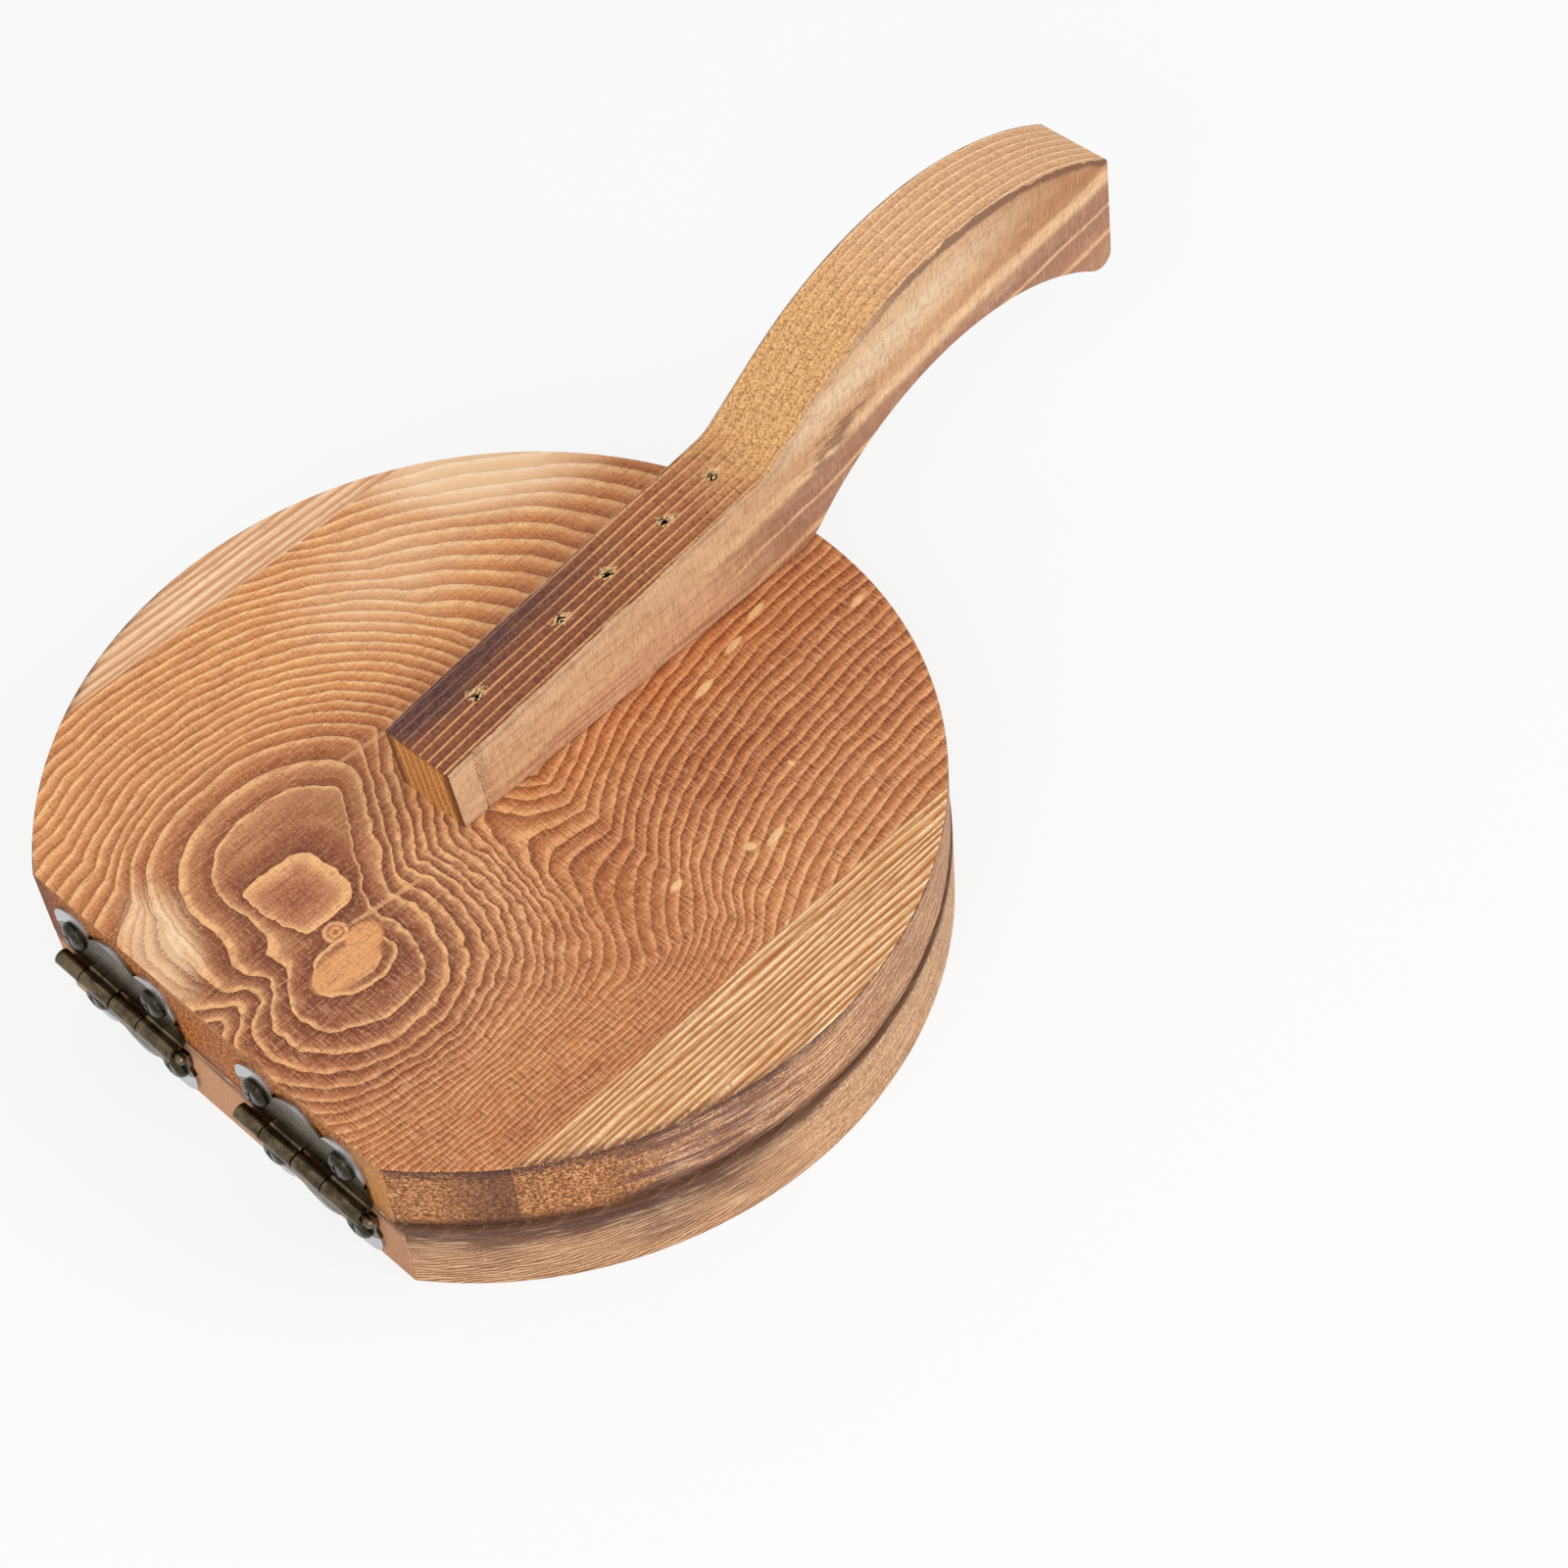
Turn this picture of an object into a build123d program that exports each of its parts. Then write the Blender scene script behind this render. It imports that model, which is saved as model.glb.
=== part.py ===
from build123d import *
from math import atan2, cos, degrees, radians, sin, sqrt
import os

# Wooden press for dumpling wrappers: two round plates on two hinges, and a handle.
# Millimetres, +Z up. The origin is on the bottom face, below the upper plate's centre.
# The hinges are on the +Y side, and the handle reaches out on the -Y side.

# Plates
PLATE_RADIUS = 75.0
PLATE_THICKNESS = 15.7
PLATE_EDGE = 0.5
FLAT_Y = 62.1
FLAT_CORNER = 1.0
LOWER_CENTRE = (-0.9, 0.5)
LEFT_GLUE_X = -57.2
RIGHT_GLUE_X = 64.4
SEAM_Z = PLATE_THICKNESS
TOP_Z = 2 * PLATE_THICKNESS

# Handle: its side profile as (distance along the handle, height above the upper plate)
HANDLE_X = 3.1
HANDLE_TURN = 0.4
HANDLE_WIDTH = 15.5
HANDLE_EDGE = 0.4
NEAR_BOTTOM = (9.4, 0.0)
NEAR_TOP = (10.6, 14.3)
NECK = (-64.0, 23.6)
RISE_END = (-76.5, 32.0)
TIP_TOP = (-150.8, 33.3)
TIP_BOTTOM = (-152.7, 5.2)
ARCH_CROWN = (-115.0, 19.8)
ARCH_ROOT = (-72.7, 0.0)
NECK_RADIUS = 7.0
ROOT_RADIUS = 9.0
TIP_BOTTOM_RADIUS = 3.0
TIP_TOP_RADIUS = 1.2

# Brads through the handle, by their distance along it
BRAD_PLACES = (-3.1, -22.1, -33.2, -46.6, -58.1)
BRAD_RADIUS = 0.6
BRAD_HEAD_RADIUS = 1.0
BRAD_HEAD_HEIGHT = 0.8
BRAD_LENGTH = 28.0
BRAD_POINT = 1.8
BRAD_SUNK = 0.9

# Hinges: stamped sheet leaves with rolled knuckles
HINGE_CENTRES = {"right": 22.6, "left": -22.9}
SHEET = 0.7
AXIS_Y = FLAT_Y + 2.2
AXIS_Z = SEAM_Z - 0.6
BARREL_LENGTH = 30.0
KNUCKLE_ENDS = (0.0, 6.3, 14.0, 21.0, BARREL_LENGTH)
LOWER_KNUCKLES = (0, 2)
UPPER_KNUCKLES = (1, 3)
KNUCKLE_GAP = 0.3
PIN_RADIUS = 0.85
PIN_CLEARANCE = 0.05
PIN_RECESS = 0.3
PIN_STICK_OUT = 1.8
BEND_RADIUS = 0.9
ROLL_END = -145.0

# Leaf outline, from the middle of the barrel
LOBE_U = 10.1
LOBE_V = 9.1
LOBE_RADIUS = 5.0
CUSP_U = 5.6
PEAK_V = 14.3
WAIST_V = 6.4
TAIL_BULGE = (14.75, 4.9)
TAIL_V = 2.4

# Hinge screws
SCREW_V = 8.5
SCREW_RADIUS = 1.0
SCREW_HOLE_RADIUS = 1.3
SCREW_LENGTH = 11.0
SCREW_POINT = 2.5
HEAD_RADIUS = 2.7
HEAD_SIDE = 0.45
HEAD_HEIGHT = 1.35
HEAD_TOP_RADIUS = 1.3
HEAD_SHOULDER = (2.15, 1.08)
RECESS_LENGTH = 2.8
RECESS_WIDTH = 0.8
RECESS_DEPTH = 1.0

turn = radians(HANDLE_TURN)
HANDLE_SIDE = Plane(
    origin=(HANDLE_X, 0, 0), x_dir=(-sin(turn), cos(turn), 0), z_dir=(cos(turn), sin(turn), 0)
)


def save(piece, node):
    """Label a finished piece and write it under its node's name."""
    piece.part.label = node
    export_step(piece.part, f"parts/{node}.step")


def on_handle(point):
    """A profile point of the handle, raised onto the upper plate."""
    return (point[0], TOP_Z + point[1])


def brad_mark(place):
    """The point on the handle's straight top where the brad at a place goes in."""
    share = (NEAR_TOP[0] - place) / (NEAR_TOP[0] - NECK[0])
    height = TOP_Z + NEAR_TOP[1] + share * (NECK[1] - NEAR_TOP[1])
    return HANDLE_SIDE.from_local_coords(Vector(place, height, 0))


def screw_places(level):
    """Places of the screws of both hinges, level +1 for the upper leaves, -1 for the lower."""
    z = AXIS_Z + level * SCREW_V
    return [(x + side * LOBE_U, z) for x in HINGE_CENTRES.values() for side in (1, -1)]


def screw_shank(x, z):
    """A screw's pointed shank, from under its head into the wood."""
    with BuildPart() as shank:
        with BuildSketch(Plane((x, FLAT_Y + SHEET, z))):
            with BuildLine():
                Polyline(
                    (0, 0),
                    (SCREW_RADIUS, 0),
                    (SCREW_RADIUS, SCREW_POINT - SCREW_LENGTH),
                    (0, -SCREW_LENGTH),
                    close=True,
                )
            make_face()
        revolve(axis=Axis((x, FLAT_Y, z), (0, 1, 0)))
    return shank.part


def brad_body(place):
    """A brad, driven straight down and sunk below the handle's top."""
    head_top = brad_mark(place) - Vector(0, 0, BRAD_SUNK)
    with BuildPart() as brad:
        with BuildSketch(Plane(head_top, x_dir=(1, 0, 0), z_dir=(0, -1, 0))):
            with BuildLine():
                Polyline(
                    (0, 0),
                    (BRAD_HEAD_RADIUS, 0),
                    (BRAD_HEAD_RADIUS, -BRAD_HEAD_HEIGHT),
                    (BRAD_RADIUS, -BRAD_HEAD_HEIGHT),
                    (BRAD_RADIUS, BRAD_POINT - BRAD_LENGTH),
                    (0, -BRAD_LENGTH),
                    close=True,
                )
            make_face()
        revolve(axis=Axis(head_top, (0, 0, 1)))
    return brad.part


# The lower plate, a disc with a flat for the hinges
def make_lower_plate():
    shanks = [screw_shank(x, z) for x, z in screw_places(-1)]
    with BuildPart() as plate:
        with BuildSketch():
            with Locations(LOWER_CENTRE):
                Circle(PLATE_RADIUS)
            with Locations((0, FLAT_Y + PLATE_RADIUS)):
                Rectangle(4 * PLATE_RADIUS, 2 * PLATE_RADIUS, mode=Mode.SUBTRACT)
        extrude(amount=PLATE_THICKNESS)
        fillet(plate.edges().filter_by(Axis.Z), FLAT_CORNER)
        fillet(plate.faces().filter_by(Axis.Z).edges(), PLATE_EDGE)
        add(shanks, mode=Mode.SUBTRACT)
    save(plate, "lower_plate")


# One board of the glued upper plate, between two glue lines
def make_upper_board(node, left_x, right_x, fasteners=()):
    with BuildPart() as board:
        with BuildSketch(Plane.XY.offset(SEAM_Z)):
            Circle(PLATE_RADIUS)
            with Locations((0, FLAT_Y + PLATE_RADIUS)):
                Rectangle(4 * PLATE_RADIUS, 2 * PLATE_RADIUS, mode=Mode.SUBTRACT)
            with Locations(((left_x + right_x) / 2, 0)):
                Rectangle(right_x - left_x, 3 * PLATE_RADIUS, mode=Mode.INTERSECT)
        extrude(amount=PLATE_THICKNESS)
        corners = board.edges().filter_by(Axis.Z).group_by(Axis.Y)[-1]
        if abs(corners[0].center().Y - FLAT_Y) < PLATE_EDGE:
            fillet(corners, FLAT_CORNER)
        level_edges = board.faces().filter_by(Axis.Z).edges()
        fillet(level_edges.filter_by(Axis.Y, reverse=True), PLATE_EDGE)
        if fasteners:
            add(fasteners, mode=Mode.SUBTRACT)
    save(board, node)


# The sawn handle, its profile drawn from the side
def make_handle():
    brads = [brad_body(place) for place in BRAD_PLACES]
    with BuildPart() as handle:
        with BuildSketch(HANDLE_SIDE) as profile:
            with BuildLine():
                Line(on_handle(NEAR_BOTTOM), on_handle(NEAR_TOP))
                Line(on_handle(NEAR_TOP), on_handle(NECK))
                rise = Line(on_handle(NECK), on_handle(RISE_END))
                TangentArc(rise @ 1, on_handle(TIP_TOP), tangent=rise % 1)
                Line(on_handle(TIP_TOP), on_handle(TIP_BOTTOM))
                ThreePointArc(on_handle(TIP_BOTTOM), on_handle(ARCH_CROWN), on_handle(ARCH_ROOT))
                Line(on_handle(ARCH_ROOT), on_handle(NEAR_BOTTOM))
            make_face()
            for corner, radius in (
                (NECK, NECK_RADIUS),
                (ARCH_ROOT, ROOT_RADIUS),
                (TIP_BOTTOM, TIP_BOTTOM_RADIUS),
                (TIP_TOP, TIP_TOP_RADIUS),
            ):
                fillet(profile.vertices().sort_by_distance(on_handle(corner))[0], radius)
        extrude(amount=HANDLE_WIDTH / 2, both=True)
        chamfer(handle.faces().filter_by(HANDLE_SIDE).edges(), HANDLE_EDGE)
        add(brads, mode=Mode.SUBTRACT)
        with Locations([brad_mark(place) for place in BRAD_PLACES]):
            Cylinder(BRAD_HEAD_RADIUS, 2 * BRAD_SUNK, mode=Mode.SUBTRACT)
    save(handle, "handle")


def make_brad(number, place):
    with BuildPart() as brad:
        add(brad_body(place))
    save(brad, f"handle_brad_{number}")


def leaf_outline(foot_v):
    """The leaf's outline: a pointed crest between two round lobes, above a flared foot."""
    cusp = (CUSP_U, LOBE_V + sqrt(LOBE_RADIUS**2 - (LOBE_U - CUSP_U) ** 2))
    waist = (LOBE_U + sqrt(LOBE_RADIUS**2 - (LOBE_V - WAIST_V) ** 2), WAIST_V)
    lobe_out = (LOBE_U + LOBE_RADIUS * cos(radians(45)), LOBE_V + LOBE_RADIUS * sin(radians(45)))
    crest_bulge = (CUSP_U * 0.45, PEAK_V - 0.25 * (PEAK_V - cusp[1]))
    tail = (BARREL_LENGTH / 2, TAIL_V)
    foot = (BARREL_LENGTH / 2, foot_v)
    with BuildSketch() as outline:
        with BuildLine():
            ThreePointArc((0, PEAK_V), crest_bulge, cusp)
            ThreePointArc(cusp, lobe_out, waist)
            ThreePointArc(waist, TAIL_BULGE, tail)
            Polyline(tail, foot, (0, foot_v), (0, PEAK_V))
        make_face()
        mirror(about=Plane.YZ)
        with Locations((LOBE_U, SCREW_V), (-LOBE_U, SCREW_V)):
            Circle(SCREW_HOLE_RADIUS, mode=Mode.SUBTRACT)
    return outline.sketch


def make_leaf(side, level, knuckles, bore_radius):
    """A leaf of the hinge on one side, level +1 for the upper leaf and -1 for the lower."""
    centre_x = HINGE_CENTRES[side]
    roll_radius = bore_radius + SHEET / 2
    sheet_y = FLAT_Y + SHEET / 2
    bend_y = sheet_y + BEND_RADIUS
    reach = BEND_RADIUS + roll_radius
    bend_rise = sqrt(reach**2 - (AXIS_Y - bend_y) ** 2)
    bend_turn = degrees(atan2(bend_rise, AXIS_Y - bend_y))
    face = Plane((centre_x, FLAT_Y, AXIS_Z), x_dir=(-1, 0, 0), z_dir=(0, 1, 0))
    outline = leaf_outline(bend_rise)
    with BuildPart() as leaf:
        with BuildSketch(face):
            add(outline)
        extrude(amount=SHEET)
        for knuckle in knuckles:
            length = KNUCKLE_ENDS[knuckle + 1] - KNUCKLE_ENDS[knuckle] - KNUCKLE_GAP
            start_u = KNUCKLE_ENDS[knuckle] - BARREL_LENGTH / 2 + KNUCKLE_GAP / 2
            with BuildSketch(Plane.YZ.offset(centre_x - start_u)):
                with BuildLine():
                    Line((sheet_y, AXIS_Z + WAIST_V), (sheet_y, AXIS_Z + bend_rise))
                    CenterArc((bend_y, AXIS_Z + bend_rise), BEND_RADIUS, 180, 180 - bend_turn)
                    CenterArc((AXIS_Y, AXIS_Z), roll_radius, 180 - bend_turn, bend_turn + ROLL_END - 180)
                trace(line_width=SHEET)
            extrude(amount=-length)
        if level < 0:
            mirror(about=Plane.XY.offset(AXIS_Z), mode=Mode.REPLACE)
    name = "upper" if level > 0 else "lower"
    save(leaf, f"{side}_hinge_{name}_leaf")


# The pin, flush at one end of the barrel and domed where it stands out of the other
def make_pin(side):
    start_x = HINGE_CENTRES[side] + BARREL_LENGTH / 2 - PIN_RECESS
    length = BARREL_LENGTH - PIN_RECESS + PIN_STICK_OUT
    with BuildPart() as pin:
        with BuildSketch(Plane((start_x, AXIS_Y, AXIS_Z), x_dir=(0, 1, 0), z_dir=(-1, 0, 0))):
            Circle(PIN_RADIUS)
        extrude(amount=length)
        fillet(pin.edges().sort_by(Axis.X)[0], PIN_RADIUS * 0.7)
    save(pin, f"{side}_hinge_pin")


# A round headed screw with a cross recess, its head seated on a leaf
def make_screw(node, x, z):
    shank = screw_shank(x, z)
    with BuildPart() as screw:
        add(shank)
        with BuildSketch(Plane((x, FLAT_Y + SHEET, z))):
            with BuildLine():
                Line((0, 0), (HEAD_RADIUS, 0))
                Line((HEAD_RADIUS, 0), (HEAD_RADIUS, HEAD_SIDE))
                ThreePointArc((HEAD_RADIUS, HEAD_SIDE), HEAD_SHOULDER, (HEAD_TOP_RADIUS, HEAD_HEIGHT))
                Line((HEAD_TOP_RADIUS, HEAD_HEIGHT), (0, HEAD_HEIGHT))
                Line((0, HEAD_HEIGHT), (0, 0))
            make_face()
        revolve(axis=Axis((x, FLAT_Y, z), (0, 1, 0)))
        head_top = Plane((x, FLAT_Y + SHEET + HEAD_HEIGHT, z), x_dir=(1, 0, 0), z_dir=(0, 1, 0))
        with BuildSketch(head_top.rotated((0, 0, 30))):
            Rectangle(RECESS_LENGTH, RECESS_WIDTH)
            Rectangle(RECESS_WIDTH, RECESS_LENGTH)
        extrude(amount=-RECESS_DEPTH, taper=12, mode=Mode.SUBTRACT)
    save(screw, node)


def make_hinges():
    for side in HINGE_CENTRES:
        make_leaf(side, 1, UPPER_KNUCKLES, PIN_RADIUS + PIN_CLEARANCE)
        make_leaf(side, -1, LOWER_KNUCKLES, PIN_RADIUS)
        make_pin(side)
    for name, level in (("upper", 1), ("lower", -1)):
        for index, (x, z) in enumerate(screw_places(level)):
            side = list(HINGE_CENTRES)[index // 2]
            make_screw(f"{side}_hinge_{name}_screw_{index % 2 + 1}", x, z)


os.makedirs("parts", exist_ok=True)
through_middle = [brad_body(place) for place in BRAD_PLACES]
through_middle += [screw_shank(x, z) for x, z in screw_places(1)]
make_lower_plate()
make_upper_board("upper_board_left", -PLATE_RADIUS, LEFT_GLUE_X)
make_upper_board("upper_board_middle", LEFT_GLUE_X, RIGHT_GLUE_X, through_middle)
make_upper_board("upper_board_right", RIGHT_GLUE_X, PLATE_RADIUS)
make_handle()
for number, place in enumerate(BRAD_PLACES, 1):
    make_brad(number, place)
make_hinges()
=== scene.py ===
import math
import bmesh
import bpy
from mathutils import Matrix, Vector


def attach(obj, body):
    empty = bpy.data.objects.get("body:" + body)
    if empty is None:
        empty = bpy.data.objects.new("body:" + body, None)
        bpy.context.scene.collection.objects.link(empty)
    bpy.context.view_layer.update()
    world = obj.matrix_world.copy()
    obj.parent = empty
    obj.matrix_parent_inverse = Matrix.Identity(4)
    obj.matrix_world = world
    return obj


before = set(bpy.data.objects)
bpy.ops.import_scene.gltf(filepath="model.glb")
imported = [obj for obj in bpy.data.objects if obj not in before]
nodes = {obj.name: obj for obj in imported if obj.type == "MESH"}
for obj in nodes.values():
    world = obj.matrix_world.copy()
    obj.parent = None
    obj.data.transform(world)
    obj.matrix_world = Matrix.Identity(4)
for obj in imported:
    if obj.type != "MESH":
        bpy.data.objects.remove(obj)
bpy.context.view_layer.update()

# Sizes that the looks follow, in millimetres as in the part
MM = 0.001
PLATE_RADIUS = 75.0
SEAM_Z = 15.7
TOP_Z = 31.4
FLAT_Y = 62.1
LOWER_CENTRE = (-0.9, 0.5)
HINGE_X = 22.75
HINGE_LOBE_X = 10.1
HINGE_TONGUE_X = 5.4
PIN_Z = 15.1
HANDLE_X = 3.1
HANDLE_HALF = 7.6
HANDLE_LINES = 1.95
HANDLE_TURN = math.radians(0.4)

# Dry wood and paper shine little
WOOD_SHINE = 0.16

# The handle's top edge: a straight run over the board, a rise and an arc
NEAR_END = (10.6, 14.3)
NEAR_SLOPE = 0.1247
NECK = (-64.0, 23.6)
NECK_SLOPE = 0.672
CROWN_Y = -114.65
CROWN_RADIUS = 68.4
CROWN_DROP = 24.8

# Each brad's place along the handle, and the side to which its wood is torn
BRADS = ((-3.1, 0.5), (-22.1, -0.4), (-33.2, 0.3), (-46.6, -0.2), (-58.1, 0.4))

# Pale flecks on the upper board: their places and half sizes
FLECKS = (
    (-38.5, -5.0, 0.9, 1.8), (-42.0, -18.5, 1.2, 1.0), (-43.5, -22.5, 0.9, 3.0), (-13.0, -37.0, 1.0, 3.0),
    (-10.0, -47.0, 0.9, 3.0), (-7.5, -55.0, 0.8, 3.0), (-19.0, -68.0, 0.8, 2.2), (-35.0, -35.0, 0.9, 0.6),
)

# Where the torch left the middle board darker or paler: how much, centre, half sizes and turn
TOASTED = (
    (0.5, (-10.0, 44.0), (32.0, 28.0), 0.0),
    (0.28, (-20.0, -45.0), (34.0, 44.0), -10.0),
    (0.18, (-26.0, -20.0), (9.0, 30.0), -8.0),
    (0.12, (-31.0, 2.0), (26.0, 15.0), 0.0),
    (0.08, (40.0, 50.0), (8.0, 18.0), 24.0),
    (0.16, (47.0, 22.0), (7.0, 20.0), 0.0),
    (0.14, (18.0, 26.0), (11.0, 12.0), 0.0),
    (-0.34, (56.0, -34.0), (30.0, 54.0), 14.0),
    (-0.26, (46.0, -12.0), (24.0, 40.0), 10.0),
)

# The photograph's camera
CAMERA_AZIMUTH = math.radians(228.31)
CAMERA_ELEVATION = math.radians(51.12)
CAMERA_ROLL = math.radians(-5.75)
CAMERA_LENS = 75.46
ORIGIN_FROM_CAMERA = (-0.04623, -0.01894, -0.56132)

# The studio: how bright the room is to the object, and how much of the floor is plain white
WHITE = (1.0, 1.0, 1.0, 1.0)
ROOM_LIGHT = 0.62
FLOOR_WHITE = 0.78
LAMP_SIZE = 0.9
LAMP_TARGET = (0.0, 0.0, 0.02)


def shade(red, green, blue):
    """A colour as it looks on a screen, 0 to 255, made linear."""
    def linear(part):
        part = part / 255
        return part / 12.92 if part <= 0.04045 else ((part + 0.055) / 1.055) ** 2.4
    return (linear(red), linear(green), linear(blue), 1.0)


# Bands of tone up the handle's side, from its underside to its top
SIDE_BANDS = (
    (0.0, shade(184, 136, 106)),
    (0.15, shade(172, 124, 98)),
    (0.175, shade(238, 190, 142)),
    (0.21, shade(176, 126, 98)),
    (0.34, shade(166, 120, 96)),
    (0.358, shade(238, 192, 146)),
    (0.38, shade(164, 116, 92)),
    (0.5, shade(176, 130, 104)),
    (0.55, shade(238, 198, 152)),
    (0.6, shade(232, 188, 142)),
    (0.63, shade(210, 160, 118)),
    (0.72, shade(214, 168, 126)),
    (0.76, shade(228, 190, 150)),
    (0.9, shade(236, 204, 168)),
    (1.0, shade(222, 182, 142)),
)


class Reading:
    """A number that varies over a surface; arithmetic on it adds Math nodes."""

    def __init__(self, graph, socket):
        self.graph = graph
        self.socket = socket

    def maths(self, operation, *others):
        values = dict(enumerate((self, *others)))
        return self.graph.node("ShaderNodeMath", {"operation": operation}, values)

    def from_other(self, operation, other):
        return self.graph.node("ShaderNodeMath", {"operation": operation}, {0: other, 1: self})

    def __add__(self, other):
        return self.maths("ADD", other)

    __radd__ = __add__

    def __sub__(self, other):
        return self.maths("SUBTRACT", other)

    def __rsub__(self, other):
        return self.from_other("SUBTRACT", other)

    def __mul__(self, other):
        return self.maths("MULTIPLY", other)

    __rmul__ = __mul__

    def __truediv__(self, other):
        return self.maths("DIVIDE", other)

    def __rtruediv__(self, other):
        return self.from_other("DIVIDE", other)

    def __pow__(self, other):
        return self.maths("POWER", other)

    def __neg__(self):
        return self.maths("MULTIPLY", -1.0)

    def __abs__(self):
        return self.maths("ABSOLUTE")

    def __gt__(self, other):
        return self.maths("GREATER_THAN", other)

    def __lt__(self, other):
        return self.maths("LESS_THAN", other)

    def root(self):
        return self.maths("SQRT")

    def exp(self):
        return self.maths("EXPONENT")

    def part(self):
        return self.maths("FRACT")

    def least(self, other, softness=0.0):
        if softness:
            return self.maths("SMOOTH_MIN", other, softness)
        return self.maths("MINIMUM", other)

    def most(self, other, softness=0.0):
        if softness:
            return self.maths("SMOOTH_MAX", other, softness)
        return self.maths("MAXIMUM", other)

    def step(self, low, high, way="SMOOTHSTEP"):
        """0 at low, 1 at high, smooth between and held outside."""
        return self.graph.node(
            "ShaderNodeMapRange",
            {"interpolation_type": way},
            {"Value": self, "From Min": low, "From Max": high, "To Min": 0.0, "To Max": 1.0},
        )

    def between(self, low, high):
        """0 at low, 1 at high, straight between and held outside."""
        return self.step(low, high, "LINEAR")


def reach(across, along):
    """The distance from a centre."""
    return (across * across + along * along).root()


class Graph:
    """The nodes of a material or of the world, all made by one method."""

    def __init__(self, tree):
        self.tree = tree

    def node(self, kind, settings, values, output=0):
        """Adds a node: its settings first, then the values or links of its sockets."""
        node = self.tree.nodes.new(kind)
        for name, value in settings.items():
            if name == "stops":
                self.set_stops(node.color_ramp, value)
            elif name == "points":
                self.set_points(node.mapping, value)
            else:
                setattr(node, name, value)
        for key, value in values.items():
            if isinstance(value, Reading):
                self.tree.links.new(value.socket, node.inputs[key])
            else:
                node.inputs[key].default_value = value
        return Reading(self, node.outputs[output])

    @staticmethod
    def set_stops(ramp, stops):
        while len(ramp.elements) < len(stops):
            ramp.elements.new(0.5)
        for element, (place, colour) in zip(ramp.elements, stops):
            element.position = place
            element.color = colour

    @staticmethod
    def set_points(mapping, points):
        curve = mapping.curves[0]
        while len(curve.points) < len(points):
            curve.points.new(0.5, 0.5)
        for point, (across, up) in zip(curve.points, points):
            point.location = (across, up)
        mapping.update()

    def background_rays(self):
        """1 for the rays that meet a white background: from the camera, mirrored or through glass."""
        seen = self.node("ShaderNodeLightPath", {}, {}, "Is Camera Ray")
        rays = seen.socket.node.outputs
        for kind in ("Is Glossy Ray", "Is Transmission Ray"):
            seen = seen.most(Reading(self, rays[kind]))
        return seen


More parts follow.
